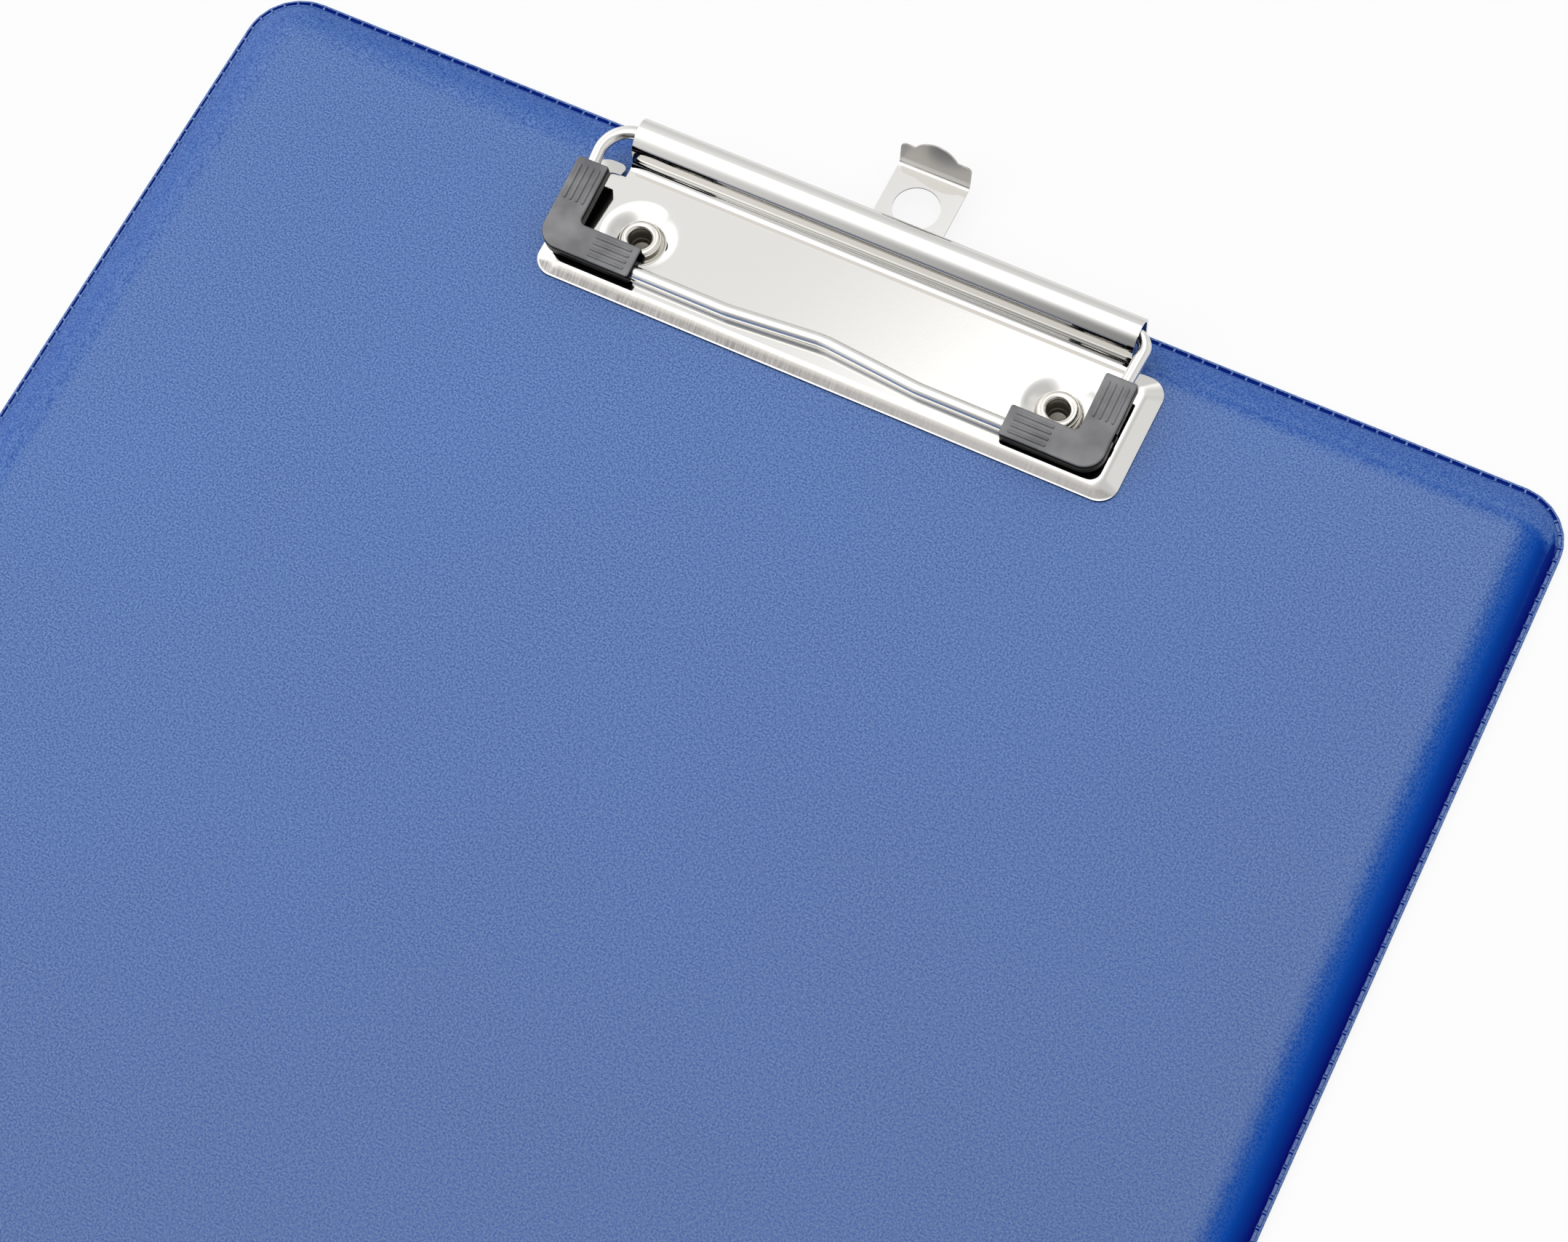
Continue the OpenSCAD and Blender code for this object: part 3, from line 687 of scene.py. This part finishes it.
def pan_grid(y, x_inner, sides, at_rear):
    """Points of the pan over the rows y: the columns x_inner, and an ear's on each of the
    sides, squeezed in at the round corners. The outer ends and the front or rear row are
    the plate's outline, so they are turned down."""
    width = half_width(y)[:, None]
    start = ear_start(y)[:, None]
    ear = start + ear_shares * (width - start)
    x_inner = np.broadcast_to(x_inner, (len(y), np.shape(x_inner)[-1]))
    x = np.concatenate([-ear[:, ::-1]] * (-1 in sides) + [x_inner] + [ear] * (1 in sides), 1)
    yy = np.broadcast_to(y[:, None], x.shape)
    grid = np.stack([x, yy, pan_height(x, yy)], -1)
    for side in sides:
        grid = turned_down(grid, 1, side == 1)
    return turned_down(grid, 0, at_rear)


pan = pan_grid(pan_y, inner_x, (-1, 1), at_rear=False)
ear_x = ear_start(ear_y)[:, None]
left_ear = pan_grid(ear_y, -ear_x, (-1,), at_rear=True)
right_ear = pan_grid(ear_y, ear_x, (1,), at_rear=True)
print("pan", pan.shape[:2], "ear", left_ear.shape[:2])

# %% Wall and barrel
# The section's run in mm and its steepness in degrees there: up round the fillet, up the
# wall, over the shoulder and the crest of the barrel, and straight down behind it.
RUN = [0, 0.75, 1.3, 1.75, 2.1, 4.44, 4.89, 5.49, 6.09, 6.84, 7.34, 7.79, 9.21, 13.42]
STEEPNESS = [0, 43, 60, 69, 88, 88, 69, 60, 55, 45, 38, 31, 0, -90]
BARREL_Y, BARREL_R = -5.1, 3.0
FOOT_Y = BARREL_Y - BARREL_R * 1.41


def barrel_section():
    """(y, z) along the section: its steepness is read off the run, and its cosine and sine
    add up to the way gone backwards and upwards."""
    s = np.concatenate([np.arange(0, 9.3, 0.16), np.arange(9.4, RUN[-1] - 0.1, 0.22), [RUN[-1]]])
    middle = np.radians(np.interp((s[1:] + s[:-1]) / 2, RUN, STEEPNESS))
    step = np.diff(s)[:, None] * np.stack([np.cos(middle), np.sin(middle)], 1)
    path = [FOOT_Y, PLATE_H] + np.concatenate([[[0, 0]], np.cumsum(step, 0)])
    rear = [[path[-1, 0], z] for z in (3.6, PLATE_H - SHEET_T, 0.0)]
    lead = [[y, PLATE_H] for y in (PAN_END, -10.1, -9.7, -9.42)]
    return np.concatenate([lead, path, rear])


section = barrel_section()
print("barrel crest", section[section[:, 1].argmax()].round(2), "rear", section[-4].round(2))
strip_x = inner_x[np.abs(inner_x) <= BARREL_HALF + HAIR]
strip = np.stack(np.broadcast_arrays(strip_x, section[:, :1], section[:, 1:]), -1)
# The lowest row at the rear is left open for the tab, and each dish for its rivet.
in_slot = (strip_x[:-1] > SLOT[0] - HAIR) & (strip_x[:-1] < SLOT[1] - HAIR)
strip_faces = np.array(grid_faces(*strip.shape[:2])).reshape(len(section) - 1, -1, 4)
kept = np.ones(strip_faces.shape[:2], bool)
kept[-1, in_slot] = False
pan_faces = np.array(grid_faces(*pan.shape[:2]))
from_rivet = np.abs(pan.reshape(-1, 3)[pan_faces].mean(1)[:, :2]) - [RIVETS_X, -RIVETS_Y]
plate_grids = [(from_clip(pan), pan_faces[np.hypot(*from_rivet.T) > DISH_HOLE_R].tolist())]
plate_grids += [(from_clip(g), grid_faces(*g.shape[:2])) for g in (left_ear, right_ear)]
plate_grids.append((from_clip(strip), strip_faces[kept].tolist()))
clip_plate = piece_from("pressed_plate", plate_grids, plated_sheet, "board", "plated_sheet",
                        "clip_plate", weld=0.001, sharp=50)
# The wall is a little thinner than the sheet, so the dishes stay just clear of the foil.
add_wall(clip_plate, SHEET_T - 0.02)

# %% [markdown]
# ## The rivets
# Each rivet is tubular: a flat head flush in the back, a shank through the board and a rim
# rolled over the plate's dish. It is a turned part, so a section spun round an axis gives
# the whole shape.

# %% Rivets
SPOKES = 72


def turned(section_rz, x, y):
    """A closed (radius, height) section carried round an upright axis at (x, y)."""
    r, z = section_rz[:, :1], section_rz[:, 1:]
    to_x, to_y = circle(SPOKES).T
    return np.stack(np.broadcast_arrays(x + r * to_x, y + r * to_y, z), -1)


def rivet_section():
    """From the middle of the head out, up the shank, over the rim and down the blind hole."""
    head = [[0.001, -3], [3.85, -3], [4, -2.9], [4, -2.56], [2.36, -2.55], [2.36, 0.5], [2.52, 0.5]]
    a = np.radians(np.linspace(-80, 172, 19))
    rim = np.stack([2.6 + 0.76 * np.cos(a), 1.13 + 0.63 * np.sin(a)], 1)
    hole = [[1.84, 0.9], [1.84, -1.15], [1.8, -1.35], [1.62, -1.5], [1.6, -2.1],
            [1.45, -2.35], [1.1, -2.45], [0.001, -2.5]]
    return np.concatenate([head, rim, hole])


section_rz = rivet_section()
rivet_grids = [(from_clip(turned(section_rz, side * RIVETS_X, RIVETS_Y)),
                grid_faces(len(section_rz), SPOKES, ring=True)) for side in (-1, 1)]
piece_from("tubular_rivets", rivet_grids, plated_rivet, "board", "plated_rivet", "rivets",
           weld=0.003, sharp=40, turn=True)

# %% [markdown]
# ## The wire bail
# Spring wire, 2.2 mm thick, is bent in one plane into an open frame: two legs in the
# barrel, two arms, and a front bar with a shallow set-back that gives way to thick paper.
# A circle carried along the route makes the wire. The route is a line of corner points,
# each rounded to its own bend radius, as a wire bender would set them.

# %% Route of the wire
BAIL_SHIFT, ARM_REAR, ARM_FRONT, WIRE_R = -1.8, 46.9, 45.6, 1.1
ROUTE = np.array([[-3, 0], [BAIL_SHIFT - ARM_REAR, 0], [BAIL_SHIFT - ARM_FRONT, -BAIL_REACH],
                  [-17.5, -BAIL_REACH], [-1.3, -BAIL_REACH + 1.4], [15.5, -BAIL_REACH],
                  [BAIL_SHIFT + ARM_FRONT, -BAIL_REACH], [BAIL_SHIFT + ARM_REAR, 0], [3, 0]])
BENDS = [0, 5, 3, 11, 11, 11, 3, 2.6, 0]


def from_bail(points):
    """Bail plane to board frame: tilted about the pivot, then shifted to it."""
    p = np.asarray(points, float)
    c, s = math.cos(BAIL_TILT), math.sin(BAIL_TILT)
    y, z = p[..., 1] * c - p[..., 2] * s, p[..., 1] * s + p[..., 2] * c
    return from_clip(np.stack([p[..., 0], y + PIVOT_Y, z + PIVOT_Z], -1))


def corner_arcs(corners, radii, step):
    """For each corner: the centre of its arc, the spokes of unit length from that centre to
    the arc's points, and the turn's sign, +1 to the left."""
    arcs = []
    n = len(corners)
    for i, (b, r) in enumerate(zip(corners, radii)):
        d, e = b - corners[i - 1], corners[(i + 1) % n] - b
        d, e = d / np.linalg.norm(d), e / np.linalg.norm(e)
        turn = math.atan2(d[0] * e[1] - d[1] * e[0], d @ e)
        side = math.copysign(1, turn)
        centre = b - d * r * math.tan(abs(turn) / 2) + side * r * np.array([-d[1], d[0]])
        a = turn * np.linspace(0, 1, max(2, int(abs(math.degrees(turn)) / step) + 1))
        spoke = -side * np.array([-d[1], d[0]])
        spokes = np.stack([spoke[0] * np.cos(a) - spoke[1] * np.sin(a),
                           spoke[0] * np.sin(a) + spoke[1] * np.cos(a)], 1)
        arcs.append((centre, spokes, side))
    return arcs


arcs = corner_arcs(ROUTE, BENDS, 6)
bent = [centre + r * spokes for (centre, spokes, _), r in zip(arcs[1:-1], BENDS[1:-1])]
route = np.concatenate([ROUTE[:1], *bent, ROUTE[-1:]])
print("wire %.0f mm long" % np.linalg.norm(np.diff(route, axis=0), axis=1).sum())

# %% Wire
RING = 36
BEVEL, BEVEL_SHARE = 0.15, 0.005


def tube(path, radius):
    """A circle carried along a flat path, square to it; each end narrows by a small bevel."""
    path = np.concatenate([path[:1], path[:1] + (path[1] - path[0]) * BEVEL_SHARE, path[1:-1],
                           path[-1:] + (path[-2] - path[-1]) * BEVEL_SHARE, path[-1:]])
    step = np.diff(path, axis=0)
    step /= np.linalg.norm(step, axis=1, keepdims=True)
    ahead = np.concatenate([step[:1], step[:-1] + step[1:], step[-1:]])
    ahead /= np.linalg.norm(ahead, axis=1, keepdims=True)
    across = np.stack([-ahead[:, 1], ahead[:, 0]], 1)
    r = np.full((len(path), 1), radius)
    r[[0, -1]] = radius - BEVEL
    sideways, upwards = circle(RING).T
    flat = path[:, None] + (r * sideways)[..., None] * across[:, None]
    return np.concatenate([flat, (r * upwards)[..., None]], -1)


wire_points, wire_faces = closed_grid(tube(route, WIRE_R))
piece_from("bent_wire", [(from_bail(wire_points), wire_faces)], plated_wire, "bail", "plated_wire",
           "wire_bail", sharp=40, turn=True)

# %% [markdown]
# ## The grips
# A grip is moulded over each front corner of the wire: an L with a round outer corner, soft
# edges and four fine ribs on each arm for the thumb. Its outline is six rounded corners.
# Shrinking the outline along its own normals, ring after ring, gives the wall, the rounded
# edge and the top without any modifier.

# %% Rings of a rounded outline
CHAMFER = 0.12


def shrunk(arcs, radii, inwards):
    """The outline moved inwards: a corner that bulges out loses that from its radius, and
    the inside corner gains it."""
    return np.concatenate([centre + (r - side * inwards) * spokes
                           for (centre, spokes, side), r in zip(arcs, radii)])


def capped(arcs, radii, profile):
    """Rings of an outline, one for each (inwards, height) of the profile, closed at both ends."""
    outlines = [(shrunk(arcs, radii, inwards), height) for inwards, height in profile]
    return closed_grid([np.column_stack([flat, np.full(len(flat), z)]) for flat, z in outlines])


def edge_profile(low, high, radius, steps=5):
    """(inwards, height) pairs up a wall, then over an edge of that radius to the level top."""
    a = np.linspace(0, math.pi / 2, steps + 1)
    over = [(radius * (1 - math.cos(t)), high - radius + radius * math.sin(t)) for t in a]
    crown = (radius + 0.012, high + 0.002)
    return [(CHAMFER, low), (0.0, low + CHAMFER), *over, crown]


# %% Ribs and stubs
GRIP_W, GRIP_FRONT, GRIP_SIDE, GRIP_TOP, GRIP_DROP = 5.4, 16.5, 15.9, 2.0, 0.6
GRIP_EDGE_R, RIB_INSET = 0.36, 1.2
RIB_L, RIB_W, RIB_H, RIB_PITCH, RIBS = 6.4, 0.5, 0.25, 1.08, 4
RIB_PROFILE = [(0, -0.1), (0, 0.1), (0.05, 0.2), (0.14, RIB_H)]
STUB_R = 0.25


def rib_grids():
    """The eight ribs of one grip: a bar with round ends, its top edge rounded, copied along."""
    around = np.array([[0, 0], [RIB_L, 0], [RIB_L, RIB_W], [0, RIB_W]])
    radii = [RIB_W / 2 - 0.001] * 4
    points, faces = capped(corner_arcs(around, radii, 22.5), radii, RIB_PROFILE)
    quarter_turned = np.column_stack([RIB_W - points[:, 1], points[:, 0], points[:, 2]])
    grids = []
    for i in range(RIBS):
        step = GRIP_W / 2 + (i - (RIBS - 1) / 2) * RIB_PITCH - RIB_W / 2
        on_front = [GRIP_FRONT - RIB_INSET - RIB_L, step, GRIP_TOP]
        on_side = [step, GRIP_SIDE - RIB_INSET - RIB_L, GRIP_TOP]
        grids += [(points + on_front, faces), (quarter_turned + on_side, faces)]
    return grids


def stub(low, high):
    """The small block that is left where the plastic was broken off the mould's runner: its
    upright corners are round, and its top is rounded."""
    (x0, y0, z0), (x1, y1, z1) = low, high
    around = np.array([[x0, y0], [x1, y0], [x1, y1], [x0, y1]])
    radii = [STUB_R] * 4
    return capped(corner_arcs(around, radii, 30), radii, edge_profile(z0, z1, STUB_R * 0.8, 3))


# %% Grips
L_CORNERS = np.array([[0, 0], [GRIP_FRONT, 0], [GRIP_FRONT, GRIP_W], [GRIP_W, GRIP_W],
                      [GRIP_W, GRIP_SIDE], [0, GRIP_SIDE]])
L_RADII = [3.5, 0.5, 0.4, 0.9, 0.4, 0.5]


def make_grip(name, node, corner, mirror, own_stub):
    """A grip in the bail's plane: its outer corner at (across, out) from the pivot."""
    body = capped(corner_arcs(L_CORNERS, L_RADII, 10), L_RADII,
                  edge_profile(-GRIP_DROP, GRIP_TOP, GRIP_EDGE_R))
    grids = [body, own_stub, *rib_grids()]
    placed = [(from_bail(p * [mirror, 1, 1] + [corner[0], -corner[1], 0]), f) for p, f in grids]
    piece_from(name, placed, moulded_black, "bail", "moulded_black", node, weld=0.0001, sharp=50,
               turn=True)


left_stub = stub((GRIP_FRONT - 0.4, 3.7, -0.2), (GRIP_FRONT + 0.75, 4.8, 1.2))
right_stub = stub((-0.3, 6.2, 0.2), (0.6, 7.4, 1.5))
make_grip("grip_left", "left_grip", (-50.4, 23.64), 1, left_stub)
make_grip("grip_right", "right_grip", (46.75, 24.14), -1, right_stub)

# %% [markdown]
# ## The hanging tab
# The tab is a strip of the same plated sheet with a hole for a hook, a lip bent up at its
# outer end, and a wider inner end that stops it in the plate. Rings lead from the round
# hole to the strip's outline, and straight rows carry on into the stop and the lip.

# %% Shape of the tab
TAB_HALF, TAB_T, TAB_TOP = 6.15, 0.3, 0.45
EYE_Y, EYE_R, EYE_FROM, EYE_TO = 4.24, 3.9, -1.2, 9.9
STOP_HALF, STOP_SHOULDER, STOP_Y, STOP_FRONT = 10.5, 8.4, -6.4, -2.9
BEND_Y, BEND_R, LEAN = 10.45, 0.6, math.radians(10)
LIP_H, LIP_CROWN, CROWN_HALF, LIP_R = 4.1, 2.1, 3.69, 0.9
NECK_ROW, STOP_ROW = -2.0, -4.6
shoulder = TAB_HALF - LIP_R * (1 - np.cos(np.linspace(0, math.pi / 2, 8)))
arch = CROWN_HALF * np.sin(np.linspace(-1, 1, 21) * math.pi / 2)
lip_x = np.concatenate([-shoulder, arch, shoulder[::-1]])
LIP_COLS = len(lip_x)


def lip_top(x):
    """Height of the lip's edge: level shoulders, rounded at the ends, with an arc between."""
    side = np.clip(np.abs(x) - (TAB_HALF - LIP_R), 0, LIP_R)
    crown_r = (CROWN_HALF ** 2 + LIP_CROWN ** 2) / (2 * LIP_CROWN)
    crown = np.sqrt(crown_r ** 2 - np.minimum(np.abs(x), CROWN_HALF) ** 2) - (crown_r - LIP_CROWN)
    return LIP_H - (LIP_R - np.sqrt(LIP_R ** 2 - side ** 2)) + crown


def eye_rings():
    """Rings from a rectangle in to the hole; each side has as many columns as the lip."""
    side_y = np.linspace(EYE_FROM, EYE_TO, LIP_COLS)
    sides = [(lip_x, EYE_FROM), (TAB_HALF, side_y), (lip_x[::-1], EYE_TO),
             (-TAB_HALF, side_y[::-1])]
    rim = np.concatenate([np.stack(np.broadcast_arrays(x, y), 1)[:-1] for x, y in sides])
    ray = rim - [0, EYE_Y]
    hole = [0, EYE_Y] + EYE_R * ray / np.linalg.norm(ray, axis=1, keepdims=True)
    shares = np.array([1.0, 0.6, 0.3, 0.08, 0])[:, None, None]
    xy = hole + shares * (rim - hole)
    return np.concatenate([xy, np.full((*xy.shape[:2], 1), TAB_TOP)], -1)


def rows_of(xs, yz):
    """A grid of straight rows: the same x stops at each (y, z)."""
    return np.stack(np.broadcast_arrays(xs, *np.array(yz).T[..., None]), -1)


# %% Hanging tab
eye = eye_rings()
neck = rows_of(lip_x, [(y, TAB_TOP) for y in (STOP_FRONT, NECK_ROW, EYE_FROM)])
stop_half_x = [STOP_SHOULDER, STOP_HALF]
stop_x = np.concatenate([np.negative(stop_half_x)[::-1], lip_x, stop_half_x])
stop = rows_of(stop_x, [(y, TAB_TOP) for y in (STOP_Y, STOP_ROW, STOP_FRONT)])
round_bend = [(BEND_Y + BEND_R * math.cos(t), TAB_TOP + BEND_R + BEND_R * math.sin(t))
              for t in np.linspace(-math.pi / 2, -LEAN, 9)]
fold = rows_of(lip_x, [(EYE_TO, TAB_TOP), *round_bend])
lip_up = np.array([0, math.sin(LEAN), math.cos(LEAN)])
climbed = np.linspace(0, 1, 9)[1:, None, None]
lip = np.concatenate([fold, fold[-1] + climbed * lip_top(lip_x)[:, None] * lip_up])
tab_grids = [(from_clip(grid + [TAB_SHIFT, 0, 0]), grid_faces(*grid.shape[:2], ring=grid is eye))
             for grid in (eye, neck, stop, lip)]
hanging_tab = piece_from("bent_tab", tab_grids, plated_sheet, "hanger", "plated_sheet",
                         "hanging_tab", weld=0.002, sharp=50)
add_wall(hanging_tab, TAB_T)

# %% [markdown]
# ## The CAD pieces that stay
# The back foil and the core are flat, so their CAD solids are kept and only get their real
# finishes.

# %% Finishes of the CAD pieces
for name, material in (("back_cover", foil), ("board_core", greyboard)):
    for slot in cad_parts[name].material_slots:
        slot.material = material
print("finished: back_cover, board_core")

# %% [markdown]
# ## Floor and studio light
# The board lies on a white sweep. Polished metal shows whatever stands round it, so the
# room matters more than any lamp: pale walls, darker in front and on the right, and a
# broad softbox overhead whose edges show in the clip. Area lamps could do it, but the
# world draws the whole room by direction, and a camera ray still finds it white.

# %% Floor
FLOOR_HALF, FLOOR_DROP = 1.5, 0.0002
floor_mesh = bpy.data.meshes.new("floor")
floor_mesh.from_pydata([(FLOOR_HALF * x, FLOOR_HALF * y, -FLOOR_DROP)
                        for x, y in ((-1, -1), (1, -1), (1, 1), (-1, 1))], [], [(0, 1, 2, 3)])
floor = bpy.data.objects.new("floor", floor_mesh)
scene.collection.objects.link(floor)
# The sweep glows for the camera alone, so that it shows white and keeps a faint shadow.
GLOW_SHARE = 0.86
sweep, node, place = new_material("white sweep")
paper = node("BsdfPrincipled", None, Base_Color=(0.8, 0.8, 0.8, 1), Roughness=0.9)
glow = node("Emission", None, (1, 1, 1, 1), 1.0)
seen = node("Math", "MULTIPLY", node("LightPath").outputs["Is Camera Ray"], GLOW_SHARE)
lifted = node("MixShader", None, seen, paper, glow)
node("OutputMaterial", None, Surface=lifted)
floor_mesh.materials.append(sweep)
print("floor %.1f mm below the board" % (FLOOR_DROP / MM))

# %% World: soft steps by direction
world = bpy.data.worlds.new("studio")
scene.world = world
node = emptied(world)
x, y, z = node("SeparateXYZ", None, node("TexCoord").outputs["Generated"]).outputs
slant = node("Math", "SUBTRACT", node("Math", "MULTIPLY", x, 0.86),
             node("Math", "MULTIPLY", y, 0.5))
# Each soft step is (direction, from, to, level before, level after).
STEPS = {
    "behind": (y, 0.35, 1.0, 0.95, 0.72),
    "in front": (y, -0.30, -1.0, 0.0, 0.45),
    "far in front": (y, -0.35, -0.7, 0.0, 1.0),
    "to the right": (x, -0.34, -0.10, -0.3, 0.3),
    "left side": (x, -0.45, -0.8, 0.0, 0.5),
    "right side": (x, 0.2, 0.5, 0.0, 0.28),
    "not behind": (y, 0.75, 0.5, 0.0, 1.0),
    "far right": (x, 0.45, 0.62, 0.0, 0.18),
    "low": (z, 0.80, 0.66, 0.0, 1.0),
    "box left": (slant, -0.44, -0.33, 0.0, 1.0),
    "box front": (y, -0.95, -0.50, 0.0, 1.0),
    "box right": (x, 0.32, 0.0, 0.0, 1.0)}
step = {name: node("MapRange", SOFT, *limits) for name, limits in STEPS.items()}
print("steps of the room:", len(step))

# %% World: the room
DARKEST, SOFTBOX_LEVEL = 0.03, 0.7
dark_front = node("Math", "MULTIPLY", step["far in front"], step["to the right"])
open_side = node("Math", "MULTIPLY", step["right side"], step["not behind"])
card = node("Math", "MULTIPLY", step["far right"], step["low"])
# The walls: pale behind, darker in front and on the open right, lighter on the left, and a
# low white card on the right.
walls = step["behind"]
for operation, part in (("SUBTRACT", step["in front"]), ("SUBTRACT", dark_front),
                        ("ADD", step["left side"]), ("SUBTRACT", open_side), ("ADD", card),
                        ("MAXIMUM", DARKEST)):
    walls = node("Math", operation, walls, part)
# The softbox: a slanting edge on the left, a soft one in front and a soft right end.
softbox = step["box left"]
for part in (step["box front"], step["box right"], SOFTBOX_LEVEL):
    softbox = node("Math", "MULTIPLY", softbox, part)
level = node("Math", "ADD", walls, softbox)
level = node("Math", "MAXIMUM", level, node("LightPath").outputs["Is Camera Ray"])
node("OutputWorld", None, Surface=node("Background", None, (1, 1, 1, 1), level))

# %% View settings
scene.view_settings.view_transform = "Standard"
